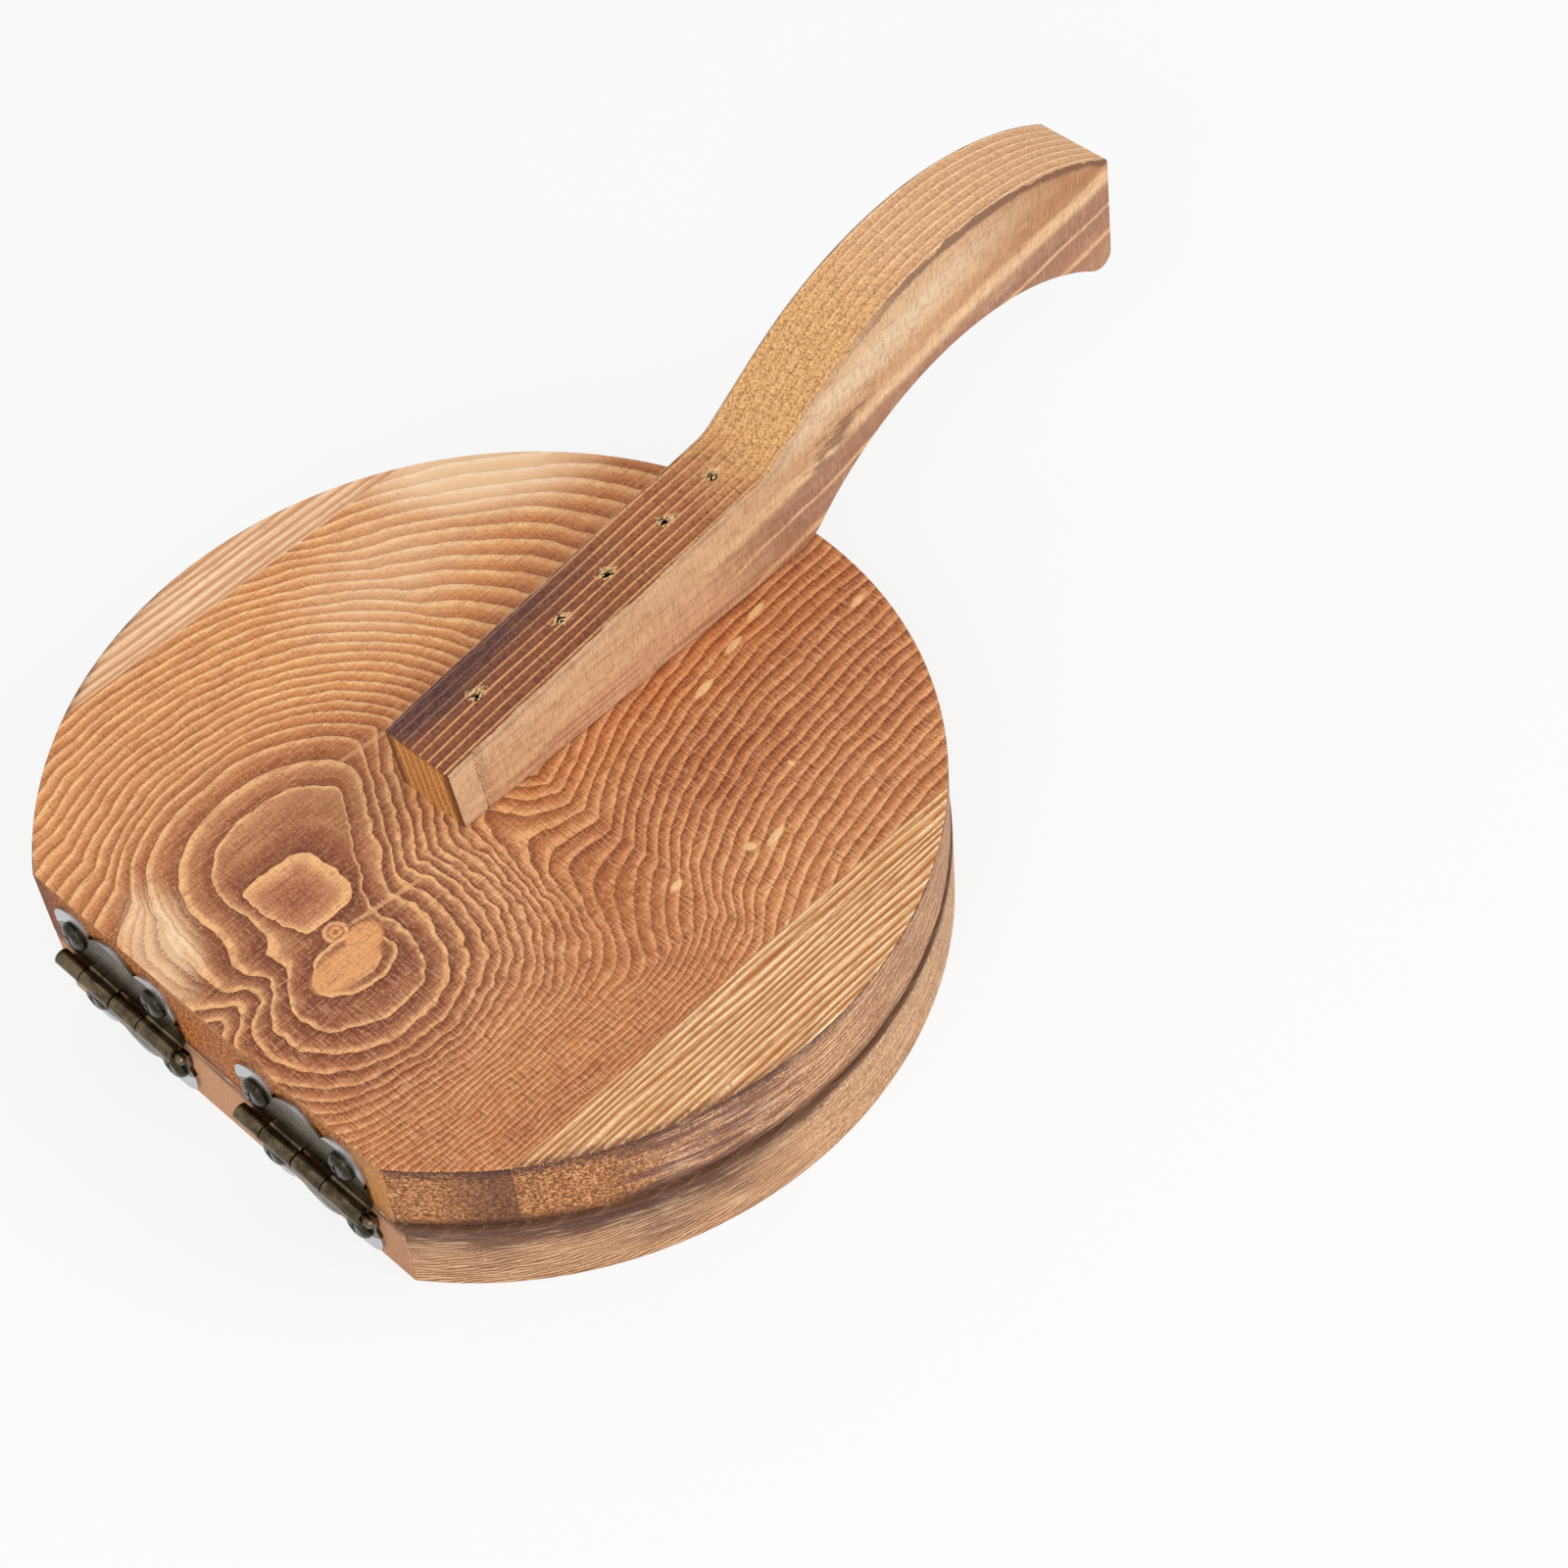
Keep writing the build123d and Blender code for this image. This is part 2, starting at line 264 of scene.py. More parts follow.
class Finish(Graph):
    """A material for one kind of surface."""

    def __init__(self, name, roughness=0.6):
        self.material = bpy.data.materials.new(name)
        self.material.use_nodes = True
        super().__init__(self.material.node_tree)
        self.shader = self.tree.nodes["Principled BSDF"]
        self.shader.inputs["Roughness"].default_value = roughness
        self.shader.inputs["Specular IOR Level"].default_value = WOOD_SHINE
        self.place = self.node("ShaderNodeTexCoord", {}, {}, "Object")
        spread = self.node("ShaderNodeSeparateXYZ", {}, {"Vector": self.place}, "X")
        sockets = spread.socket.node.outputs
        self.x = Reading(self, sockets["X"]) / MM
        self.y = Reading(self, sockets["Y"]) / MM
        self.z = Reading(self, sockets["Z"]) / MM

    def noise(self, size, detail=2.0, roughness=0.5, seed=0.0, output=0):
        """Noise whose blotches are size millimetres along x, y and z."""
        scaled = self.node(
            "ShaderNodeMapping",
            {"vector_type": "POINT"},
            {
                "Vector": self.place,
                "Location": (seed, seed * 0.37, seed * 0.71),
                "Scale": tuple(1 / (part * MM) for part in size),
            },
        )
        return self.node(
            "ShaderNodeTexNoise",
            {"noise_dimensions": "3D"},
            {"Vector": scaled, "Scale": 1.0, "Detail": detail, "Roughness": roughness},
            output,
        )

    def spot(self, centre, radii, turn=0.0, full=0.6):
        """1 around a centre on the board, falling to 0 at its radii; full is how soon it gets to 1."""
        laid = self.node(
            "ShaderNodeMapping",
            {"vector_type": "TEXTURE"},
            {
                "Vector": self.place,
                "Location": (centre[0] * MM, centre[1] * MM, 0.0),
                "Rotation": (0.0, 0.0, math.radians(turn)),
                "Scale": (radii[0] * MM, radii[1] * MM, 1000.0),
            },
        )
        near = self.node("ShaderNodeTexGradient", {"gradient_type": "SPHERICAL"}, {"Vector": laid}, 1)
        return near.step(0.0, full)

    def ramp(self, value, stops):
        return self.node("ShaderNodeValToRGB", {"stops": stops}, {"Fac": value})

    def curve(self, value, points):
        """A smooth curve through points; it runs from the first point to the last."""
        far = points[-1][0]
        low = min(up for across, up in points)
        tall = max(up for across, up in points) - low
        drawn = [(across / far, (up - low) / tall) for across, up in points]
        return self.node("ShaderNodeFloatCurve", {"points": drawn}, {"Value": value / far}) * tall + low

    def noise_pair(self, size, detail, roughness, seed):
        """Two noises that don't follow each other."""
        colour = self.noise(size, detail, roughness, seed, output=1)
        parts = self.node("ShaderNodeSeparateColor", {}, {"Color": colour}).socket.node.outputs
        return Reading(self, parts[0]), Reading(self, parts[1])

    def mix(self, under, over, amount):
        """One colour turning into another."""
        return self.node("ShaderNodeMix", {"data_type": "RGBA"}, {0: amount, 6: under, 7: over}, 2)

    def coats(self, colour, *layers):
        """Lays layers over a colour, each a tone and how much of it there is."""
        for tone, amount in layers:
            colour = self.mix(colour, tone, amount)
        return colour

    def pick(self, low, high, amount):
        """One number turning into another."""
        return self.node("ShaderNodeMix", {"data_type": "FLOAT"}, {0: amount, 2: low, 3: high})

    def colour(self, value):
        self.tree.links.new(value.socket, self.shader.inputs["Base Color"])

    def roughness(self, value):
        self.tree.links.new(value.socket, self.shader.inputs["Roughness"])

    def relief(self, height, depth):
        """Bump from a height of 0 to 1, depth millimetres deep."""
        bump = self.node(
            "ShaderNodeBump", {}, {"Height": height, "Strength": 1.0, "Distance": depth * MM}
        )
        self.tree.links.new(bump.socket, self.shader.inputs["Normal"])

    def put_on(self, *names):
        for name in names:
            mesh = nodes[name].data
            mesh.materials.clear()
            mesh.materials.append(self.material)


def across_handle(wood):
    """Millimetres from the handle's middle plane."""
    return (wood.x - HANDLE_X) * math.cos(HANDLE_TURN) + wood.y * math.sin(HANDLE_TURN)


def knot_rings(wood, x, y):
    """Rings of the small light knot, 1 at its edge."""
    out = reach((x + 10.7) / 5.4, (y - 38.8) / 7.9)
    return wood.curve(out, ((0.0, -0.9), (0.62, 0.0), (1.0, 1.0), (2.0, 1.7), (20.0, 6.0)))


def left_hill(wood, x, y):
    """Growth rings round the light knot; below it they turn down beside the handle."""
    offset = x + 12.2
    leftwards = -offset
    across = wood.pick(leftwards + 0.2 * (leftwards - 14.0).most(0.0), offset * 0.6, offset > 0.0)
    along = (40.0 - y).most((y - 40.0) / 1.15).least(34.0, 6.0)
    flattened = (1.0 - (across * across - 100.0) * 0.00069).least(1.0).most(0.05)
    out = (across * across + along * along * flattened).root()
    counts = (
        (0.0, -1.5), (6.0, 0.3), (10.6, 2.0), (14.6, 3.0), (17.7, 4.0), (20.4, 5.0), (22.4, 6.0),
        (24.2, 7.0), (26.0, 8.0), (27.6, 9.0), (29.0, 10.0), (42.0, 20.0), (86.2, 54.0),
    )
    upper = wood.curve(out, counts) + 1.5 * (x - 10.0).most(0.0)
    lean = ((y + 6.0).least(0.0) / 22.0).exp()
    lower = 15.4 + 0.41 * (-5.0 - x - 18.0 * lean) + 3.4 * (x + 3.0).most(0.0)
    return wood.pick(lower, upper, y.step(-13.0, 14.0))


def right_hill(wood, x, y):
    """Growth rings round the dark core: pear shaped, with a straight flank over the handle's end."""
    offset = x - 12.0
    across = wood.pick(offset, offset * -0.55, offset < 0.0)
    down = 31.0 - y
    south = down.least(50.0 + (down - 50.0) * 0.55) / 1.13
    up = -down
    north = up.least(24.0 + (up - 24.0) * 0.3) / 1.08
    along = south.most(north)
    out = (across ** 2.2 + along ** 2.2) ** (1 / 2.2)
    counts = (
        (0.0, -4.0), (9.0, 0.0), (13.0, 2.0), (18.0, 3.0), (22.7, 4.0), (25.2, 5.0), (27.3, 6.0),
        (29.0, 7.0), (31.0, 8.0), (52.0, 18.0), (94.0, 38.0),
    )
    round_side = wood.curve(out, counts)
    depth = 80.0 - 0.514 * x - 0.857 * y
    counts = ((0.0, -16.0), (48.0, -1.5), (55.0, 0.6), (56.2, 2.0), (60.0, 3.0), (61.9, 4.0), (139.8, 45.0))
    flank = wood.curve(depth, counts) - 0.15 * (8.0 - y).most(0.0, 4.0)
    core_across = abs((x - 5.75) / 7.25)
    core_along = abs((y - 36.75) / 7.75)
    core_out = (core_across ** 4.0 + core_along ** 4.0) ** 0.25
    core = wood.curve(core_out, ((0.0, 0.15), (0.5, 0.45), (1.0, 1.0), (3.0, 1.95), (20.0, 6.0)))
    rings = flank.most(round_side, 1.0).most(core, 0.3)
    return rings + 0.8 * (-9.0 - x).most(0.0)


def ring_count(wood):
    """How many growth rings out a point of the upper board's middle lies."""
    kinks = 0.3 + 0.7 * wood.spot((-10.0, 30.0), (44.0, 46.0))
    slow_x, slow_y = wood.noise_pair((11.0, 11.0, 40.0), 1.5, 0.5, 3.1)
    quick_x, quick_y = wood.noise_pair((3.2, 3.2, 40.0), 1.5, 0.55, 8.3)
    x = wood.x + (slow_x - 0.5) * 2.2 + (quick_x - 0.5) * kinks * 1.5
    y = wood.y + (slow_y - 0.5) * 2.2 + (quick_y - 0.5) * kinks * 2.2
    knot = left_hill(wood, x, y).most(knot_rings(wood, x, y), 0.3)
    rings = knot.least(right_hill(wood, x, y), 0.8)
    from_dip = (x + 4.0) / 4.0
    dip = (-(from_dip * from_dip)).exp() * y.between(44.0, 54.0)
    return rings + 1.6 * dip


def toasting(wood):
    """How dark the torch left the middle board, 0 pale to 1 dark."""
    toast = 0.42 - 0.32 * wood.x.step(12.0, 46.0)
    for strength, centre, radii, turn in TOASTED:
        toast = toast + strength * wood.spot(centre, radii, turn)
    uneven = wood.noise((9.0, 26.0, 20.0), 3.0, 0.6, 6.0)
    return (toast + (uneven - 0.5) * 0.7).between(0.0, 1.0)


def upper_faces(wood, top, inner):
    """The upper plate's colour: its top, its inner face and its edge."""
    colour = wood.mix(top, inner, wood.z < SEAM_Z + 0.05)
    edge_on = (wood.z < TOP_Z - 0.25) * (wood.z > SEAM_Z + 0.02)
    return wood.mix(colour, rim_colour(wood, True), edge_on)


def middle_board():
    """The upper plate's wide board: growth rings with light crests and dark edges."""
    wood = Finish("torched_board_middle", 0.55)
    rings = ring_count(wood)
    toast = toasting(wood)
    place = rings.part()
    fibre = wood.noise((0.28, 7.0, 3.0), 3.0, 0.65, 1.0)
    saw = wood.noise((4.0, 0.3, 3.0), 2.0, 0.6, 5.0)
    grit = wood.noise((0.5, 0.6, 3.0), 2.0, 0.7, 12.0)
    torn = wood.noise((1.1, 0.9, 3.0), 4.0, 0.75, 31.0)
    burl = wood.spot((-33.0, 2.0), (11.0, 8.0), 0.0, 0.8)
    around_knots = wood.spot((0.0, 36.0), (48.0, 42.0))

    # Pale patches at the edge, and a pale wash between them
    pale = wood.spot((54.0, -47.0), (34.0, 19.0), 50.0, 0.9)
    ringed = wood.spot((15.0, 57.0), (19.0, 9.0), -24.0, 0.9) * (0.42 + 0.85 * (rings * 4.0 + fibre).part())
    wash = wood.spot((47.0, -20.0), (24.0, 36.0), 10.0, 0.9) * 0.42
    pale = (pale.most(ringed).most(wash) + (fibre - 0.5) * 0.45).between(0.12, 0.85)
    marked = 1.0 - 0.75 * pale

    trough = wood.coats(
        shade(210, 132, 76),
        (shade(140, 66, 38), toast),
        (shade(128, 70, 56), around_knots * 0.7),
        (shade(190, 100, 50), wood.spot((-9.0, -36.0), (9.0, 52.0), -4.0) * 0.5),
        (shade(166, 98, 72), wood.spot((5.8, 36.8), (8.0, 8.0), 0.0, 0.3) * 0.9),
        (shade(240, 200, 156), pale * 0.9),
    )
    crest = wood.coats(
        shade(250, 198, 142),
        (shade(212, 132, 78), toast),
        (shade(247, 191, 134), around_knots * 0.85),
        (shade(250, 220, 184), pale),
    )

    # A crest is about as wide in millimetres on every ring, so its share of a ring grows outwards
    share = (0.07 + 0.03 * rings).least(0.3).most(0.12) * (1.0 + 0.5 * around_knots)
    rise = wood.curve(
        ((1.0 - place) / share).least(4.0),
        ((0.0, 0.6), (0.25, 1.0), (0.75, 0.92), (1.25, 0.46), (2.1, 0.16), (4.0, 0.0)),
    )
    edge = wood.curve(
        (place / share).least(3.0),
        ((0.0, 0.4), (0.2, 1.0), (0.6, 0.7), (1.2, 0.25), (2.2, 0.0), (3.0, 0.0)),
    )

    # Near the knots a ring lightens slowly towards its crest
    glow = (place - 0.35).most(0.0) * 0.9 * wood.spot((10.0, 28.0), (44.0, 42.0))
    glow = glow * (0.3 + 0.7 * (5.0 - rings).between(0.0, 2.0)) * (0.45 + 0.55 * wood.x.step(-14.0, 0.0))
    glow = glow.most(place ** 2.4 * 1.1 * wood.spot((8.0, 33.0), (17.0, 18.0), 0.0, 0.4))
    worn = wood.noise((2.2, 3.4, 4.0), 2.0, 0.6, 21.0).step(0.3, 0.6)
    faint = 1.0 - 0.25 * wood.x.step(-22.0, -36.0) * wood.y.step(-14.0, 4.0)
    between = (rings * 3.0 + fibre * 1.2).part()
    colour = wood.coats(
        trough,
        (crest, (rise * (0.6 + 0.4 * worn) * faint).most(glow)),
        (crest, (between - 0.72).most(0.0) * (0.5 + 0.6 * wood.x.step(0.0, 30.0))),
        (shade(98, 46, 30), edge * (0.3 + 0.45 * toast) * faint * (1.0 - 0.8 * pale)),
    )
    colour = knot_marks(wood, colour)

    # Fibres, saw marks, grit and the torn burl
    calm = wood.spot((-10.2, 39.5), (6.0, 9.0), 0.0, 0.3)
    sawn = (0.35 + 0.65 * wood.x.step(10.0, -20.0)) * (1.0 - 0.7 * calm)
    colour = wood.coats(
        colour,
        (shade(120, 56, 38), fibre.step(0.51, 0.66) * marked * 0.4),
        (shade(244, 184, 124), fibre.step(0.48, 0.34) * 0.28),
        (shade(104, 48, 30), saw.step(0.53, 0.67) * sawn * marked * 0.52),
        (shade(240, 188, 148), saw.step(0.47, 0.34) * sawn * 0.32),
        (shade(104, 48, 30), grit.step(0.54, 0.68) * marked * 0.42),
        (shade(246, 194, 148), grit.step(0.44, 0.32) * 0.32),
        (shade(156, 84, 40), torn.step(0.45, 0.62) * burl * 0.7),
        (shade(222, 156, 98), torn.step(0.42, 0.3) * burl * 0.7),
    )
    for x, y, wide, tall in FLECKS:
        colour = wood.mix(colour, shade(240, 200, 144), wood.spot((x, y), (wide, tall), 10.0, 0.5) * 0.8)
    inner = wood.coats(
        shade(196, 138, 92),
        (shade(232, 190, 144), rise.most(fibre.step(0.5, 0.3) * 0.5)),
        (shade(150, 96, 62), edge * 0.35),
    )
    wood.colour(upper_faces(wood, colour, inner))
    height = rise * 0.6 - edge * 0.5 + fibre * 0.35 + saw * 0.4 * sawn + grit * 0.25 + torn * burl
    wood.relief(height, 0.16)
    return wood


def knot_marks(wood, colour):
    """The light knot, the curl beside it and the seams where the ring fields meet."""
    knot = wood.spot((-10.6, 40.5), (4.2, 7.4), -4.0, 0.3)
    knot_foot = wood.spot((-8.6, 35.0), (3.4, 4.0), 20.0, 0.3)
    out = reach(wood.x + 4.2, wood.y - 37.2)
    beside = abs(wood.x + 4.8 + (35.0 - wood.y) * 0.13).step(0.6, 0.2)
    seam = beside * wood.y.between(20.0, 24.0) * wood.y.between(35.5, 33.5)
    corner = abs(wood.x - 20.6 - (wood.y - 5.0) * 0.12).step(0.6, 0.15)
    corner = corner * wood.y.between(17.0, 13.0) * wood.y.between(3.0, 5.0)
    return wood.coats(
        colour,
        (shade(226, 160, 106), knot.most(knot_foot)),
        (shade(190, 118, 80), out.step(2.3, 1.7)),
        (shade(230, 172, 118), abs(out - 1.8).step(0.5, 0.15)),
        (shade(224, 162, 108), abs(out - 0.8).step(0.4, 0.1)),
        (shade(230, 176, 124), seam * 0.7),
        (shade(228, 174, 122), corner * 0.6),
    )


def rim_colour(wood, upper):
    """Sawn and torched edge of a plate: sandy grain, fine growth lines and burnt corners."""
    # Millimetres round the rim on either side, from 0 under the handle down to the hinges
    way = -abs(wood.x.maths("ARCTAN2", -wood.y) * PLATE_RADIUS)
    rearward = way.step(-100.0, -124.0)
    height = wood.z - (SEAM_Z if upper else 0.0)
    drift = wood.noise((9.0, 9.0, 4.0), 2.0, 0.5, 2.0)
    dots = wood.noise((0.6, 0.6, 0.5), 3.0, 0.75, 7.0)
    smoke = wood.noise((12.0, 12.0, 5.0), 3.0, 0.65, 15.0)
    streak = wood.noise((8.0, 8.0, 0.5), 3.0, 0.65, 19.0)
    ragged = height + (dots - 0.5) * 3.0 + (smoke - 0.5) * 5.0
    # The flat under the hinges shows end grain
    on_flat = wood.y > FLAT_Y - 0.25
    if upper:
        growth = ((height - 0.05 * way + drift * 2.5) / 0.95).part()
        line = abs(growth - 0.5).step(0.32, 0.1)
        dark_dot = dots.step(0.49, 0.57)
        light_dot = dots.step(0.46, 0.37)
        coarse = way.step(-143.0, -154.0)
        bands = ((height + 0.04 * way) * 0.28 + drift * 1.4).part()
        bands = abs(bands - 0.5).step(0.42, 0.16) * way.step(-160.0, -150.0) * way.step(-118.0, -136.0)
        corner = way.step(-186.0, -173.0) * (way < -170.8)
        colour = wood.coats(
            shade(208, 156, 116),
            (shade(190, 126, 76), coarse),
            (shade(128, 80, 58), line * (0.75 - 0.4 * coarse)),
            (shade(92, 48, 24), dark_dot * (0.45 + 0.35 * coarse)),
            (shade(246, 194, 142), light_dot * 0.7),
            (shade(104, 68, 64), bands * smoke.step(0.3, 0.5) * 0.75),
            (shade(84, 50, 38), corner * 0.65),
        )
        end = wood.coats(
            shade(182, 102, 40),
            (shade(92, 40, 14), dark_dot * 0.95),
            (shade(244, 172, 88), light_dot * 0.8),
            (shade(240, 178, 104), (height - 14.0).between(0.0, 1.2) * smoke.step(0.4, 0.6) * 0.5),
            (shade(104, 62, 50), wood.x.step(34.0, 42.0) * 0.75),
            (shade(214, 158, 96), wood.x.step(-32.0, -40.0) * 0.45),
        )
        streaked = way.step(-158.0, -140.0)
        burnt = ragged.between(14.4 - 1.6 * rearward, 15.2) * (0.95 - 0.6 * on_flat)
        seam = ragged.between(2.4, 0.4) * (0.5 + 0.5 * rearward)
    else:
        growth = ((height - 0.2 * way + drift * 2.5) / 0.8).part()
        line = abs(growth - 0.5).step(0.32, 0.1)
        sandy = 0.35 + 0.65 * way.step(-128.0, -116.0)
        dark_dot = dots.step(0.49, 0.57) * sandy
        light_dot = dots.step(0.46, 0.37) * sandy
        top_smoke = (height + (smoke - 0.5) * 12.0).step(8.5, 13.5) * way.step(-122.0, -142.0)
        side_smoke = (height + (smoke - 0.5) * 20.0).step(4.0, 9.0)
        side_smoke = side_smoke * way.step(-130.0, -140.0) * way.step(-160.0, -150.0)
        rear_smoke = (height + (smoke - 0.5) * 16.0).step(3.0, 14.0) * way.step(-168.0, -176.0)
        smoky = top_smoke.most(side_smoke * 0.6).most(rear_smoke * 0.7)
        colour = wood.coats(
            shade(214, 167, 125),
            (shade(116, 70, 48), line * (0.25 + 0.6 * way.step(-112.0, -136.0))),
            (shade(128, 80, 48), dark_dot * 0.6),
            (shade(246, 208, 162), light_dot * 0.6),
            (shade(84, 54, 46), smoky * 0.8),
        )
        end = wood.coats(
            shade(204, 150, 112),
            (shade(124, 70, 34), dark_dot * 0.85),
            (shade(132, 82, 54), line * wood.x.step(-34.0, -40.0) * 0.6),
            (shade(238, 194, 156), light_dot * 0.7),
        )
        streaked = 0.7
        burnt = ragged.between(14.2 - 1.2 * rearward, 15.6) * (0.5 + 0.5 * rearward)
        seam = ragged.between(0.7, 0.0) * 0.3
    return wood.coats(
        colour,
        (shade(122, 78, 60), streak.step(0.5, 0.64) * streaked * 0.6),
        (shade(250, 208, 170), streak.step(0.48, 0.34) * streaked * 0.6),
        (end, on_flat),
        (shade(76, 46, 42), burnt * 0.85),
        (shade(76, 46, 42), seam * 0.8),
    )


def side_board(name, spacing, seed, tones):
    """A glued side board with straight growth lines; its tones are base, dark edge and crest."""
    base, dark, crest = tones
    wood = Finish(name, 0.6)
    drift = wood.noise((4.5, 60.0, 20.0), 2.0, 0.55, seed)
    fibre = wood.noise((0.3, 6.0, 3.0), 3.0, 0.65, seed + 3.0)
    grit = wood.noise((0.5, 0.7, 3.0), 2.0, 0.7, seed + 5.0)
    uneven = wood.noise((5.0, 20.0, 20.0), 3.0, 0.6, seed + 9.0)
    place = ((wood.x + (drift - 0.5) * 3.2) / spacing).part()
    crested = abs(place - 0.7).step(0.26, 0.08)
    shaded = abs(place - 0.14).step(0.2, 0.04)
    out = reach(wood.x, wood.y) + (grit - 0.5) * 2.0 + (uneven - 0.5) * 4.0
    burnt = out.between(PLATE_RADIUS - 1.6, PLATE_RADIUS) * wood.y.step(-4.0, 18.0)
    top = wood.coats(
        base,
        (crest, crested * (0.55 + 0.45 * uneven.step(0.3, 0.6))),
        (dark, shaded * 0.75),
        (dark, fibre.step(0.5, 0.66) * 0.5),
        (crest, fibre.step(0.46, 0.32) * 0.45),
        (dark, grit.step(0.55, 0.7) * 0.4),
        (shade(96, 54, 44), burnt * 0.8),
    )
    inner = wood.mix(shade(206, 152, 104), shade(236, 196, 150), crested.most(fibre.step(0.5, 0.3) * 0.5))
    wood.colour(upper_faces(wood, top, inner))
    wood.relief(crested * 0.7 - shaded * 0.4 + fibre * 0.35 + grit * 0.3, 0.2)
    return wood


def lower_board():
    """The lower plate: pale sawn faces with an arched grain, and a torched rim."""
    wood = Finish("torched_lower_plate", 0.6)
    warp_x, warp_y = wood.noise_pair((18.0, 30.0, 40.0), 2.0, 0.5, 41.0)
    fibre = wood.noise((0.3, 7.0, 3.0), 3.0, 0.65, 43.0)
    grit = wood.noise((0.5, 0.7, 3.0), 2.0, 0.7, 47.0)
    across = wood.x - 6.0 + (warp_x - 0.5) * 10.0
    along = (wood.y + 52.0) * 0.22 + (warp_y - 0.5) * 5.0
    place = (reach(across, along) / 2.6).part()
    crested = abs(place - 0.85).step(0.18, 0.04)
    out = reach(wood.x - LOWER_CENTRE[0], wood.y - LOWER_CENTRE[1]) + (grit - 0.5) * 2.0
    burnt = out.step(72.9, 74.0) * (wood.z > SEAM_Z / 2)
    face = wood.coats(
        shade(198, 144, 98),
        (shade(234, 192, 146), crested * 0.8),
        (shade(168, 112, 72), place.step(0.75, 0.5) * place.step(0.0, 0.5) * 0.3),
        (shade(160, 106, 68), fibre.step(0.5, 0.68) * 0.35),
        (shade(238, 196, 150), fibre.step(0.46, 0.32) * 0.35),
        (shade(150, 98, 62), grit.step(0.56, 0.7) * 0.3),
        (shade(72, 46, 40), burnt * (0.85 - 0.35 * wood.x.step(-20.0, 30.0))),
    )
    edge_on = (wood.z < SEAM_Z - 0.3) * (wood.z > 0.3)
    wood.colour(wood.mix(face, rim_colour(wood, False), edge_on))
    wood.relief(crested * 0.6 + fibre * 0.35 + grit * 0.3, 0.15)
    return wood


def near_top(along):
    """How high above the board the handle's straight run over it lies."""
    return NEAR_END[1] + (NEAR_END[0] - along) * NEAR_SLOPE


def handle_top(along):
    """How high above the board the handle's top lies, over its whole length."""
    from_crown = along - CROWN_Y
    arc = (CROWN_RADIUS ** 2 - from_crown * from_crown).most(0.0).root() - CROWN_DROP
    neck = NECK[1] - (along - NECK[0]) * NECK_SLOPE
    return near_top(along).most(neck.least(arc))


